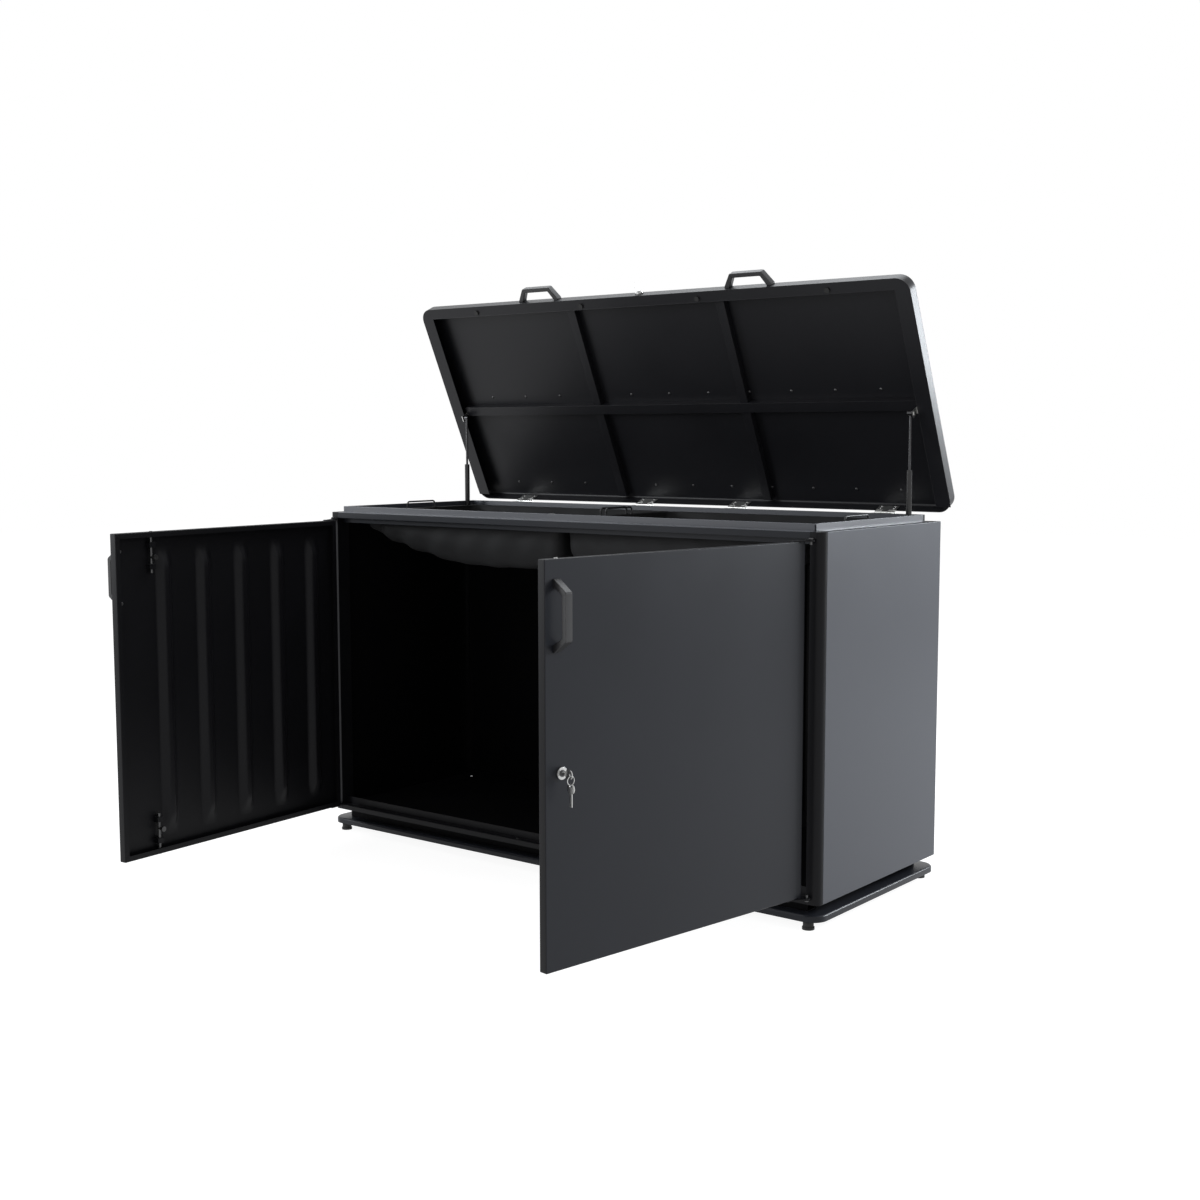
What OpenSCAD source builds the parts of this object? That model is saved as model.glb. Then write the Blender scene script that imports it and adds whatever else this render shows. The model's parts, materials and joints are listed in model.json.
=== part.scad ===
// Outdoor storage cabinet: two front doors, a lifting lid on gas struts, two lift-out tubs.
// Millimetres, Z up, origin on the floor at the centre of the footprint.
// Everything is drawn as in the photo: doors swung out, lid up. Closed shapes are built first, then swung.

/* [Body] */
// Width over the side panels
body_w = 1654; // [1440:2:1900]
// Depth from the front face to the back face
body_d = 600; // [560:2:680]
// Height of the side panels
body_h = 880; // [800:2:1000]
// Height of the body's underside above the floor
base_z = 63; // [58:1:75]
// Sheet thickness of panels and covers
sheet = 1.2; // [1:0.1:1.5]
// Width of a front corner post seen from the front
post_w = 34; // [32:1:38]
// Outer radius of a corner post
post_r = 20; // [16:1:22]
// Height of the rim above the body's top
rim_h = 17; // [14:0.5:20]

/* [Base] */
// Thickness of the plinth tray
plinth_t = 16; // [12:1:18]
// Corner radius of the plinth tray
plinth_r = 40; // [30:1:50]
// Diameter of a foot
foot_d = 30; // [26:1:36]
// Height of a foot below the plinth
foot_h = 22; // [18:1:24]

/* [Doors] */
// Thickness of a door
door_t = 20.7; // [19:0.1:21.5]
// Angle the right door is swung out in the photo
right_angle = 80.8; // [60:0.2:88]
// Angle the left door is swung out in the photo
left_angle = 86.8; // [60:0.2:90]
// Width of a pressed stiffening rib
rib_w = 50; // [40:1:56]
// Height of the lock cylinder above the floor
lock_z = 490; // [430:1:560]

/* [Lid] */
// Angle the lid is raised in the photo
lid_angle = 65.1; // [55:0.1:66]
// Length of the lid from back to front
lid_l = 645; // [644:0.5:648]
// Depth of the lid's skirt
lid_t = 36; // [34:0.5:40]
// Plan radius of the lid's corners
lid_r = 38; // [30:1:45]
// Bevel round the lid's top
lid_bevel = 7; // [4:0.5:9]

/* [Handles] */
// Length of a bow handle on its base
handle_l = 148; // [130:1:152]
// How far a bow handle stands out
handle_h = 39; // [34:1:42]
// Width of a bow handle
handle_w = 18; // [14:0.5:20]

/* [Struts] */
// Diameter of a gas strut's tube
tube_d = 15; // [13:0.5:16]
// Diameter of a gas strut's rod
rod_d = 7; // [6:0.5:8]

/* [Tubs] */
// Depth of a tub below its flange
tub_h = 146; // [110:1:170]
// Wall of a tub
tub_wall = 3; // [2.5:0.1:4]

/* [Hidden] */
$fn = 64;

// main planes
half_w = body_w / 2;
half_d = body_d / 2;
top_z = base_z + body_h;
rim_top = top_z + rim_h;
rim_x = half_w - 36;
rim_front = half_d - 23;
rim_back = half_d - 20;
rim_t = 8;
inner_x = half_w - 18;
gap = 0.3;
seam = 1.2;
back_rib_x = half_w * 0.4837;

// door layout, closed
pivot_x = half_w - 26;
pivot_y = -half_d - 9.5;
door_edge = pivot_x - 19.7;
door_free = 1.5;
door_w = door_edge - door_free;
door_z0 = base_z + 19.1;
door_z1 = top_z - 21.7;
door_h = door_z1 - door_z0;
door_face = -half_d;
door_back = door_face + door_t;
header_z = door_z1 + 5.5;
sill_z = door_z0 - 5.5;
arm_t = 2.7;
arm_gap = 0.4;
plate_t = 5.5 - arm_t - arm_gap;
pin_r = 3.5;
rib_pitch = door_w * 0.17056;
rib_first = door_w * 0.10772;
rib_d = door_t - sheet - 2;
rib_z0 = door_z0 + 40;
rib_z1 = door_z1 - 40;
lock_x = door_free + 40;
bolt_x = -door_free - 118;
rod_r = 4;
rod_y = door_face + 12;
rod_step = 12;
handle_z = door_z1 - 113;
guide_end = door_h * 0.0715;
guide_mid = door_h * 0.2979;
bolt_l = 106;
bolt_knob = 66;
handle_u = 30;
ring_y = door_face - 8.3 - 23;
ring_r = 9;
key_drop = 2;

// lid layout, closed
lid_hw = half_w + 2.3;
lid_back = half_d + 52.1;
lid_front = lid_back - lid_l;
lid_z = rim_top + 4.6;
lid_top = lid_z + lid_t;
axle_y = lid_back + 1.8;
axle_z = lid_z - 7;
axle_r = 2.5;
knuckle_r = 5;
hinge_x = [-637, -165, 165, 637];
hinge_w = 60;
flange_front = 30;
flange_side = 42;
stiff_y = lid_back - lid_l * 0.46512;
bumper_x = half_w * 0.24184;
bumper_y = lid_front + 18.9;
lid_handle_x = half_w * 0.4353;
stiff_v = 12;
cross_x = half_w * 0.31;
lid_lock_v = 19;

// struts
strut_x = half_w - 57;
strut_foot_y = half_d - 69;
strut_foot_z = top_z - 33;
strut_top_u = 288;
strut_top_v = -8;
strut_end_y = lid_back - strut_top_u;
strut_end_z = lid_z + strut_top_v;
strut_top = swing(strut_end_y, strut_end_z);
strut_len = norm([strut_top[0] - strut_foot_y, strut_top[1] - strut_foot_z]);
strut_tilt = atan2(strut_top[0] - strut_foot_y, strut_top[1] - strut_foot_z);
tube_l = 155;
strut_shut = norm([strut_end_y - strut_foot_y, strut_end_z - strut_foot_z]);
stroke = strut_len - strut_shut;

// tubs
tub_x0 = 5;
tub_x1 = half_w - 74;
tub_y = half_d - 38;
loop_half = 58;
tub_r = 80;
tub_seam = 0.05;
ledge_z = top_z;
tub_top = ledge_z + gap + 4;
loop_top = tub_top + 22;

// where a point of the closed lid goes when the lid is raised
function swing(y, z) = [
    axle_y + (y - axle_y) * cos(lid_angle) + (z - axle_z) * sin(lid_angle),
    axle_z - (y - axle_y) * sin(lid_angle) + (z - axle_z) * cos(lid_angle)];

// box from one corner to the other
module box(a, b) {
    translate(a) cube([b[0] - a[0], b[1] - a[1], b[2] - a[2]]);
}

// upright plate with rounded plan corners
module slab(w, d, r, z0, z1) {
    translate([0, 0, z0]) linear_extrude(z1 - z0) rounded(w, d, r);
}

module rounded(w, d, r) {
    union() {
        square([w - 2 * r, d], center = true);
        square([w, d - 2 * r], center = true);
        for (x = [-1, 1], y = [-1, 1]) translate([x * (w / 2 - r), y * (d / 2 - r)]) circle(r);
    }
}

module both() {
    children();
    mirror([1, 0, 0]) children();
}

module right_door_pose() {
    translate([pivot_x, pivot_y, 0]) rotate([0, 0, right_angle]) translate([-pivot_x, -pivot_y, 0]) children();
}

module left_door_pose() {
    translate([-pivot_x, pivot_y, 0]) rotate([0, 0, -left_angle]) translate([pivot_x, -pivot_y, 0]) children();
}

module lid_pose() {
    translate([0, axle_y, axle_z]) rotate([-lid_angle, 0, 0]) translate([0, -axle_y, -axle_z]) children();
}

// rod along X
module xrod(r, x0, x1, y, z) {
    translate([x0, y, z]) rotate([0, 90, 0]) cylinder(r = r, h = x1 - x0);
}

// rod along Y
module yrod(r, y0, y1, x, z) {
    translate([x, y0, z]) rotate([-90, 0, 0]) cylinder(r = r, h = y1 - y0);
}

// fixed body: everything that stays still

// folded tray with rounded corners that the body stands on
module plinth() {
    color("dimgray") {
        difference() {
            slab(body_w + 8, body_d + 16, plinth_r, foot_h, foot_h + plinth_t);
            slab(body_w + 8 - 2 * sheet, body_d + 16 - 2 * sheet, plinth_r - sheet, foot_h - 1,
                foot_h + plinth_t - sheet);
            slab(body_w - 140, body_d - 140, 30, foot_h, foot_h + plinth_t + 1);
        }
        foot_pads();
    }
}

// plates inside the tray that the feet screw into
module foot_pads() {
    for (x = [-1, 1], y = [-1, 1])
        translate([x * (half_w - 35), y * (half_d - 15) - y * 6, foot_h + 3]) {
            difference() {
                translate([-28, -18, 0]) cube([56, 36, plinth_t - sheet - 3]);
                translate([0, y * 6, -1]) cylinder(r = 6, h = plinth_t);
            }
        }
}

module levelling_feet() {
    color("black")
    for (x = [-1, 1], y = [-1, 1]) translate([x * (half_w - 35), y * (half_d - 15), 0]) {
        cylinder(r = foot_d / 2, h = 6);
        translate([0, 0, 6]) cylinder(r = foot_d / 2 - 2, h = foot_h - 10);
        translate([0, 0, foot_h - 4]) cylinder(r = 11, h = 7);
        translate([0, 0, foot_h + 3]) cylinder(r = 6, h = plinth_t - sheet - 3);
    }
}

// square tubes between plinth and floor, set in from the corners
module plinth_risers() {
    z0 = foot_h + plinth_t;
    color("black")
    for (y = [-1, 1]) difference() {
        translate([-half_w + 44, y * (half_d - 46) - 20, z0]) cube([body_w - 88, 40, base_z - z0]);
        translate([-half_w + 43, y * (half_d - 46) - 18, z0 + 2]) cube([body_w - 86, 36, base_z - z0 - 4]);
    }
}

// floor sheet with folded edges
module floor_panel() {
    color("dimgray") difference() {
        box([-inner_x + gap, door_back + 3.6, base_z], [inner_x - gap, half_d - 3 - gap, base_z + 14]);
        box([-inner_x + 2, door_back + 5.6, base_z - 1], [inner_x - 2, half_d - 5 - gap, base_z + 14 - 2]);
        both() box([half_w - post_w - gap, -half_d, base_z - 1], [half_w, -half_d + post_r + 24 + gap, base_z + 15]);
        for (x = [-1, 1], y = [-1, 1]) translate([x * (inner_x - 45), y * (half_d - 70), base_z])
            cylinder(r = 6, h = 20);
    }
}

// folded side tray, open inward
module side_panel() {
    y0 = -half_d + post_r + seam;
    difference() {
        box([half_w - 18, y0, base_z], [half_w, half_d, top_z]);
        box([half_w - 19, y0 + sheet, base_z + sheet], [half_w - sheet, half_d - sheet, top_z - sheet]);
    }
}

module right_side_panel() {
    color("dimgray") side_panel();
}

module left_side_panel() {
    color("dimgray") mirror([1, 0, 0]) side_panel();
}

// rounded folded post at a front corner
module corner_post() {
    s = 1.6;
    translate([0, 0, base_z]) linear_extrude(body_h) difference() {
        post_outline(0);
        post_outline(s);
    }
    translate([0, 0, top_z - sheet]) linear_extrude(sheet) post_outline(0);
}

// plan outline of a post, drawn in by s on its front and outer sides
module post_outline(s) {
    x0 = half_w - post_w;
    y1 = -half_d + post_r;
    l = s > 0 ? post_r + 30 : post_r + 24;
    union() {
        translate([x0 + s, -half_d + s]) square([post_w - post_r - s, l]);
        intersection() {
            translate([half_w - post_r, y1]) circle(post_r - s);
            translate([half_w - post_r - 1, -half_d]) square([post_r + 1, post_r]);
        }
    }
}

module right_corner_post() {
    color("dimgray") corner_post();
}

module left_corner_post() {
    color("dimgray") mirror([1, 0, 0]) corner_post();
}

// back sheet with three shallow upright ribs
module back_panel() {
    color("dimgray") difference() {
        union() {
            box([-inner_x + gap, half_d - 3, base_z + 14], [inner_x - gap, half_d - 3 + sheet, top_z - 22]);
            for (x = [-back_rib_x, 0, back_rib_x])
                box([x - 30, half_d - 9, base_z + 60], [x + 30, half_d - 3, top_z - 60]);
        }
        for (x = [-back_rib_x, 0, back_rib_x])
            box([x - 30 + sheet, half_d - 9 + sheet, base_z + 60 + sheet], [x + 30 - sheet, half_d, top_z - 60 - sheet]);
    }
}

// header above the doors: face, lower shelf and stop lip
module header_rail() {
    x0 = half_w - post_w - gap;
    color("dimgray") difference() {
        union() {
            box([-x0, -half_d, header_z], [x0, -half_d + sheet, top_z - sheet]);
            box([-x0, -half_d, header_z], [x0, door_back + 2.8, header_z + sheet]);
            box([-x0, door_back + 1.6, header_z - 14], [x0, door_back + 2.8, header_z + sheet]);
        }
        rod_slots(header_z - 1, header_z + 3);
    }
}

// sill below the doors: face, shelf and stop lip
module sill_rail() {
    x0 = half_w - post_w - gap;
    color("dimgray") difference() {
        union() {
            box([-x0, -half_d, base_z], [x0, -half_d + sheet, sill_z]);
            box([-x0, -half_d, sill_z - sheet], [x0, door_back + 2.6, sill_z]);
            box([-x0, door_back + 1.2, sill_z - sheet], [x0, door_back + 2.6, sill_z + 22]);
        }
        rod_slots(sill_z - 3, sill_z + 1);
    }
}

// openings in the shelves for the two rods and the two bolts
module rod_slots(z0, z1) {
    for (x = [lock_x, bolt_x]) {
        translate([x, rod_y, z0]) cylinder(r = rod_r + 2.4, h = z1 - z0);
    }
}

// upright rim round the top opening, with the flat frame under it
module front_rim_rail() {
    x0 = half_w - post_w - gap;
    color("dimgray") {
        box([-x0, -half_d + gap, top_z - sheet + gap], [x0, -rim_front + 26, top_z]);
        difference() {
            box([-rim_x, -rim_front, top_z], [rim_x, -rim_front + rim_t, rim_top]);
            box([-rim_x - 1, -rim_front + sheet, top_z - 1], [rim_x + 1, -rim_front + rim_t - sheet, rim_top - sheet]);
        }
    }
}

module back_rim_rail() {
    color("dimgray") {
        box([-inner_x + gap, rim_back - 26, top_z - sheet], [inner_x - gap, half_d - sheet, top_z]);
        box([-inner_x + gap, half_d - sheet, top_z - 22], [inner_x - gap, half_d, top_z]);
        difference() {
            box([-rim_x, rim_back - rim_t, top_z], [rim_x, rim_back, rim_top]);
            box([-rim_x - 1, rim_back - rim_t + sheet, top_z - 1], [rim_x + 1, rim_back - sheet, rim_top - sheet]);
        }
    }
}

module side_rim_rail() {
    y0 = -rim_front + rim_t;
    y1 = rim_back - rim_t;
    difference() {
        box([rim_x - rim_t, y0, top_z], [rim_x, y1, rim_top]);
        box([rim_x - rim_t + sheet, y0 - 1, top_z - 1], [rim_x - sheet, y1 + 1, rim_top - sheet]);
    }
    box([rim_x - rim_t, -rim_front + 26, top_z - sheet], [half_w - 18, rim_back - 26, top_z]);
}

module right_rim_rail() {
    color("dimgray") side_rim_rail();
}

module left_rim_rail() {
    color("dimgray") mirror([1, 0, 0]) side_rim_rail();
}

// narrow bridge between the tubs
module tub_centre_rail() {
    y0 = -rim_front + 26;
    y1 = rim_back - 26;
    color("dimgray") difference() {
        box([-4, y0, top_z - 20], [4, y1, top_z]);
        box([-4 + sheet, y0 - 1, top_z - 21], [4 - sheet, y1 + 1, top_z - sheet]);
    }
}

// plate that carries a pivot pin
module pivot_plate(z) {
    difference() {
        union() {
            box([pivot_x - 15, pivot_y, z], [pivot_x + 5, -half_d + 18, z + plate_t]);
            translate([pivot_x - 5, pivot_y, z]) cylinder(r = 10, h = plate_t);
        }
        translate([pivot_x, pivot_y, z - 1]) cylinder(r = pin_r, h = plate_t + 2);
        box([half_w - post_w - gap, -half_d, z - 1], [half_w, 0, z + plate_t + 1]);
    }
}

module door_pivot_brackets() {
    color("silver") both() {
        pivot_plate(header_z - plate_t);
        pivot_plate(sill_z);
    }
}

module door_pivot_pins() {
    color("silver") both() {
        translate([pivot_x, pivot_y, header_z - 13]) cylinder(r = pin_r, h = 13);
        translate([pivot_x, pivot_y, header_z]) cylinder(r = 5.5, h = 2.4);
        translate([pivot_x, pivot_y, sill_z]) cylinder(r = pin_r, h = 13);
        translate([pivot_x, pivot_y, sill_z - 2.4]) cylinder(r = 5.5, h = 2.4);
    }
}

// folded brackets on the back that carry the lid hinge pins
module lid_hinge_brackets() {
    y1 = half_d + 2.5;
    color("silver") for (x = hinge_x) {
        box([x - 30, half_d, top_z - 60], [x + 30, y1, axle_z - 2.5]);
        box([x - 30, half_d, axle_z - 2.5], [x + 30, axle_y - knuckle_r - gap, axle_z]);
        for (k = [-1, 1]) difference() {
            union() {
                xrod(knuckle_r, x + k * 20 - 9.7, x + k * 20 + 9.7, axle_y, axle_z);
                box([x + k * 20 - 9.7, axle_y - knuckle_r - 1, axle_z - 2.5], [x + k * 20 + 9.7, axle_y, axle_z]);
            }
            xrod(axle_r, x + k * 20 - 12, x + k * 20 + 12, axle_y, axle_z);
        }
        xrod(axle_r, x - 31, x + 31, axle_y, axle_z);
    }
}

// side brackets with the studs that the struts' feet turn on
module strut_foot_brackets() {
    z = strut_foot_z;
    color("silver") both() difference() {
        union() {
            box([half_w - 20.5, strut_foot_y - 24, z - 22], [half_w - sheet - gap, strut_foot_y + 24, z + 22]);
            xrod(7, strut_x + 6.4, half_w - 20, strut_foot_y, z);
            xrod(4, strut_x - 7, half_w - 20, strut_foot_y, z);
            xrod(6.5, strut_x - 8.4, strut_x - 6.4, strut_foot_y, z);
        }
        box([half_w - 18, strut_foot_y - 21.5, z - 23], [half_w, strut_foot_y + 21.5, z + 23]);
    }
}

// guide plates on the header and sill that the rods and bolts enter
module door_lock_keepers() {
    color("silver") for (x = [lock_x, bolt_x]) {
        keeper(x, header_z + sheet);
        keeper(x, sill_z - sheet - 2);
    }
}

module keeper(x, z) {
    difference() {
        box([x - 16, -half_d + 3, z], [x + 16, -half_d + 21, z + 2]);
        translate([x, rod_y, z - 1]) cylinder(r = rod_r + 1.2, h = 4);
    }
}

// tab behind the front rim that the lid lock's hook goes under
module lid_lock_keeper() {
    color("silver") {
        box([-22, -rim_front + rim_t, rim_top - 3], [-7, -rim_front + rim_t + 14, rim_top]);
        box([-22, -rim_front + rim_t, rim_top - 12], [-7, -rim_front + rim_t + 2, rim_top - 3]);
    }
}

// the doors are drawn closed, for the right hand side

module door_skin() {
    z0 = door_z0;
    z1 = door_z1;
    difference() {
        union() {
            box([door_free, door_face, z0], [door_edge, door_back, z1]);
            box([door_edge - 1, door_face, z0], [half_w - post_w - seam, door_face + sheet, z1]);
        }
        box([door_free + sheet, door_face + sheet, z0 + sheet], [door_edge - sheet, door_back - sheet, z1 - sheet]);
        box([door_free + 14, door_face + sheet, z0 + 14], [door_edge - 14, door_back + 1, z1 - 14]);
        children();
    }
}

// pressed ribs: hat sections with sloped sides on the inside of the skin, closed at their ends
module door_ribs() {
    for (i = [0:4]) translate([door_edge - rib_first - i * rib_pitch, door_face + sheet, 0]) {
        translate([0, 0, rib_z0]) linear_extrude(rib_z1 - rib_z0) difference() {
            hat(rib_w / 2, rib_w * 0.22, 0, rib_d);
            hat(rib_w / 2 - 2.2, rib_w * 0.22 - 0.9, -1, rib_d - 1.5);
        }
        for (z = [rib_z0, rib_z1 - 1.5]) translate([0, 0, z]) linear_extrude(1.5) hat(rib_w / 2, rib_w * 0.22, 0, rib_d);
    }
}

module hat(foot, crown, y0, y1) {
    polygon([[-foot, y0], [foot, y0], [crown, y1], [-crown, y1]]);
}

// arms on the door's top and bottom edge that reach out to the pivot pins
module hinge_arms() {
    for (z = [door_z1, door_z0 - arm_t]) difference() {
        union() {
            box([door_edge - 34, door_face + 3, z], [door_edge, door_face + 17, z + arm_t]);
            translate([pivot_x, pivot_y, z]) cylinder(r = 9, h = arm_t);
            translate([0, 0, z]) linear_extrude(arm_t) polygon([
                [door_edge - 20, door_face + 3], [pivot_x - 5, pivot_y - 7.5],
                [pivot_x + 3, pivot_y + 8.5], [door_edge, door_face + 17]]);
        }
        translate([pivot_x, pivot_y, z - 1]) cylinder(r = pin_r + 0.05, h = arm_t + 2);
        box([pivot_x - 17, -half_d - 0.6, z - 1], [pivot_x + 20, 0, z + arm_t + 1]);
    }
}

// bow handle along X, base on the plane Y = 0, standing out along -Y
module bow_handle() {
    l = handle_l / 2;
    h = handle_h;
    t = h * 0.3;
    translate([0, 0, -handle_w / 2]) linear_extrude(handle_w) difference() {
        polygon([[-l, 0], [-l, -3], [-l + 0.6 * h, -h + 2], [-l + 0.6 * h + 3, -h],
            [l - 0.6 * h - 3, -h], [l - 0.6 * h, -h + 2], [l, -3], [l, 0]]);
        polygon([[-l + 17, 1], [-l + 17, -2], [-l + 0.6 * h + 8, -h + t], [l - 0.6 * h - 8, -h + t],
            [l - 17, -2], [l - 17, 1]]);
    }
}

module door_handle(x) {
    translate([x, door_face, handle_z]) rotate([0, 90, 0]) bow_handle();
}

module right_door_skin() {
    color("dimgray") right_door_pose() door_skin() {
        translate([lock_x, rod_y, door_z0 - 1]) cylinder(r = rod_r + 0.6, h = door_h + 2);
        yrod(9, door_face - 1, door_face + 4, lock_x, lock_z);
    }
}

module left_door_skin() {
    color("dimgray") left_door_pose() mirror([1, 0, 0]) door_skin() {
        translate([-bolt_x, rod_y, door_z0 - 1]) cylinder(r = rod_r + 0.6, h = door_h + 2);
    }
}

module right_door_ribs() {
    color("dimgray") right_door_pose() door_ribs();
}

module left_door_ribs() {
    color("dimgray") left_door_pose() mirror([1, 0, 0]) door_ribs();
}

module right_door_handle() {
    color("black") right_door_pose() door_handle(door_free + handle_u);
}

module left_door_handle() {
    color("black") left_door_pose() door_handle(-door_free - handle_u);
}

module right_door_hinge_arms() {
    color("silver") right_door_pose() hinge_arms();
}

module left_door_hinge_arms() {
    color("silver") left_door_pose() mirror([1, 0, 0]) hinge_arms();
}

// guide block with a true bore for a rod or bolt
module guide(x, z, h) {
    difference() {
        union() {
            box([x - 9, door_face + sheet, z - h / 2], [x + 9, door_face + 18, z + h / 2]);
        }
        translate([x, rod_y, z - h / 2 - 1]) cylinder(r = rod_r + 0.05, h = h + 2);
    }
}

module rod_guides() {
    color("silver") right_door_pose()
        for (z = [door_z0 + guide_end, door_z0 + guide_mid, door_z1 - guide_mid, door_z1 - guide_end])
        guide(lock_x, z, 20);
}

module left_bolt_guides() {
    color("silver") left_door_pose() for (z = [door_z0 + bolt_l - 72, door_z0 + bolt_l - 16, door_z1 - bolt_l + 16, door_z1 - bolt_l + 72])
        guide(bolt_x, z, 14);
}

// hand bolt with a thumb knob between its two guides
module hand_bolt(z0, z1, knob) {
    translate([bolt_x, rod_y, z0]) cylinder(r = rod_r, h = z1 - z0);
    yrod(4, rod_y, door_back + 4, bolt_x, knob);
    yrod(7, door_back + 4, door_back + 10, bolt_x, knob);
}

module left_top_bolt() {
    color("silver") left_door_pose() hand_bolt(door_z1 - bolt_l, door_z1 + 1.5, door_z1 - bolt_knob);
}

module left_bottom_bolt() {
    color("silver") left_door_pose() hand_bolt(door_z0 - 1.5, door_z0 + bolt_l, door_z0 + bolt_knob);
}

// lock: body inside the door, collar outside
module lock_housing() {
    color("silver") right_door_pose() {
        difference() {
            yrod(13, door_face - 6, door_face, lock_x, lock_z);
            yrod(7.05, door_face - 7, door_face + 1, lock_x, lock_z);
        }
        difference() {
            union() {
                yrod(9, door_face, door_face + sheet, lock_x, lock_z);
                box([lock_x - 16, door_face + sheet, lock_z - 28], [lock_x + 16, door_face + 6, lock_z + 28]);
            }
            yrod(7.05, door_face - 1, door_face + 7, lock_x, lock_z);
        }
    }
}

// plug that the key turns, with the crank disc that drives both rods
module lock_plug() {
    color("silver") right_door_pose() {
        difference() {
            yrod(7, door_face - 7.5, door_face + 9, lock_x, lock_z);
            box([lock_x - 1.1, door_face - 8, lock_z - 4.6], [lock_x + 1.1, door_face + 4, lock_z + 4.6]);
        }
        yrod(11, door_face + 6.3, door_face + 7.5, lock_x, lock_z);
        for (k = [-1, 1]) box([lock_x - 3.5, door_face + 6.3, lock_z + min(k * 24, 0)],
            [lock_x + 3.5, door_face + 7.5, lock_z + max(k * 24, 0)]);
    }
}

module top_lock_rod() {
    color("silver") right_door_pose()
        translate([lock_x, rod_y, lock_z + 36]) cylinder(r = rod_r, h = door_z1 + 1.5 - lock_z - 36);
}

module bottom_lock_rod() {
    color("silver") right_door_pose()
        translate([lock_x, rod_y, door_z0 - 1.5]) cylinder(r = rod_r, h = lock_z - 36 - door_z0 + 1.5);
}

// flat key in the plane X = 0: blade along +Y from 0, round bow towards -Y
module flat_key(blade, bow) {
    difference() {
        union() {
            box([-1, -8, -4], [1, blade, 4]);
            xrod(bow, -1, 1, -8 - bow + 2, 0);
        }
        xrod(3.2, -2, 2, -8 - 2 * bow + 7, 0);
        for (i = [0:3]) box([-2, blade - 5 - i * 4, 2.6], [2, blade - 3 - i * 4, 5]);
    }
}

module door_key() {
    color("silver") right_door_pose() translate([lock_x, door_face - 8.3, lock_z])
        flat_key(11, 11);
}

// ring through the hole in the key's bow, and the spare key hanging on it
module key_ring() {
    color("silver") right_door_pose() translate([lock_x, ring_y, lock_z - key_drop - ring_r]) rotate([90, 0, 0])
        rotate_extrude() translate([ring_r, 0]) circle(0.9, $fn = 24);
}

module spare_key() {
    color("silver") right_door_pose()
        translate([lock_x, ring_y, lock_z - 2 * key_drop - 2 * ring_r]) rotate([-90, 0, 0]) translate([0, 23, 0])
            flat_key(20, 11);
}

// the lid is drawn closed

// block with rounded plan corners and a bevelled top edge
module bevelled(w, y0, y1, r, z0, z1, c) {
    d = y1 - y0;
    translate([0, (y0 + y1) / 2, 0]) union() {
        slab(w, d, r, z0, z1 - c);
        for (x = [-1, 1], y = [-1, 1]) translate([x * (w / 2 - r), y * (d / 2 - r), z1 - c])
            cylinder(r1 = r, r2 = r - c, h = c);
        translate([-w / 2 + r, 0, 0]) rotate([90, 0, 90]) linear_extrude(w - 2 * r)
            polygon([[-d / 2, z1 - c], [d / 2, z1 - c], [d / 2 - c, z1], [-d / 2 + c, z1]]);
        translate([0, d / 2 - r, 0]) rotate([90, 0, 0]) linear_extrude(d - 2 * r)
            polygon([[-w / 2, z1 - c], [w / 2, z1 - c], [w / 2 - c, z1], [-w / 2 + c, z1]]);
    }
}

module lid_shell() {
    color("dimgray") lid_pose() {
        difference() {
            bevelled(2 * lid_hw, lid_front, lid_back, lid_r, lid_z, lid_top, lid_bevel);
            bevelled(2 * lid_hw - 2 * sheet, lid_front + sheet, lid_back - sheet, lid_r - sheet,
                lid_z - 1, lid_top - sheet, lid_bevel);
            yrod(8.2, lid_front - 1, lid_front + 3, 0, lid_z + lid_lock_v);
        }
        // return flanges, front and sides
        intersection() {
            bevelled(2 * lid_hw, lid_front, lid_back, lid_r, lid_z, lid_top, lid_bevel);
            difference() {
                box([-lid_hw, lid_front, lid_z], [lid_hw, lid_back - 16, lid_z + sheet]);
                box([-lid_hw + flange_side, lid_front + flange_front, lid_z - 1],
                    [lid_hw - flange_side, lid_back, lid_z + 3]);
            }
        }
    }
}

// channel across the lid that the struts push on
module lid_long_stiffener() {
    x1 = lid_hw - flange_side - 1;
    color("dimgray") lid_pose() difference() {
        box([-x1, stiff_y - 14, lid_z + stiff_v], [x1, stiff_y + 14, lid_top - sheet]);
        box([-x1 - 1, stiff_y - 12.5, lid_z + stiff_v + 1.5], [x1 + 1, stiff_y + 12.5, lid_top]);
    }
}

// two fore-and-aft channels, each in two lengths either side of the long one
module lid_cross_stiffeners() {
    color("dimgray") lid_pose() for (x = [-cross_x, cross_x]) {
        channel_y(x, lid_front + flange_front + 4, stiff_y - 14.3);
        channel_y(x, stiff_y + 14.3, lid_back - sheet - 12);
    }
}

module channel_y(x, y0, y1) {
    difference() {
        box([x - 13, y0, lid_z + 17], [x + 13, y1, lid_top - sheet]);
        box([x - 11.5, y0 - 1, lid_z + 18.5], [x + 11.5, y1 + 1, lid_top]);
    }
}

module lid_handles() {
    color("black") lid_pose() for (x = [-lid_handle_x, lid_handle_x])
        translate([x, lid_front, lid_z + 20]) bow_handle();
}

// leaves on the inside of the back skirt, each with its middle knuckle
module lid_hinge_leaves() {
    y1 = lid_back - sheet;
    color("silver") lid_pose() for (x = hinge_x) {
        box([x - 30, y1 - 2, lid_z], [x + 30, y1, lid_top - lid_bevel - 4]);
        difference() {
            union() {
                xrod(knuckle_r, x - 10, x + 10, axle_y, axle_z);
                box([x - 10, y1 - 2, axle_z], [x + 10, y1, lid_z]);
            }
            xrod(axle_r + 0.05, x - 12, x + 12, axle_y, axle_z);
        }
    }
}

// short stops under the front flange
module lid_bumpers() {
    color("black") lid_pose() for (k = [-3, -1, 1, 3])
        translate([k * bumper_x, bumper_y, lid_z - 4.2]) cylinder(r = 7, h = 4.2);
}

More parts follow.
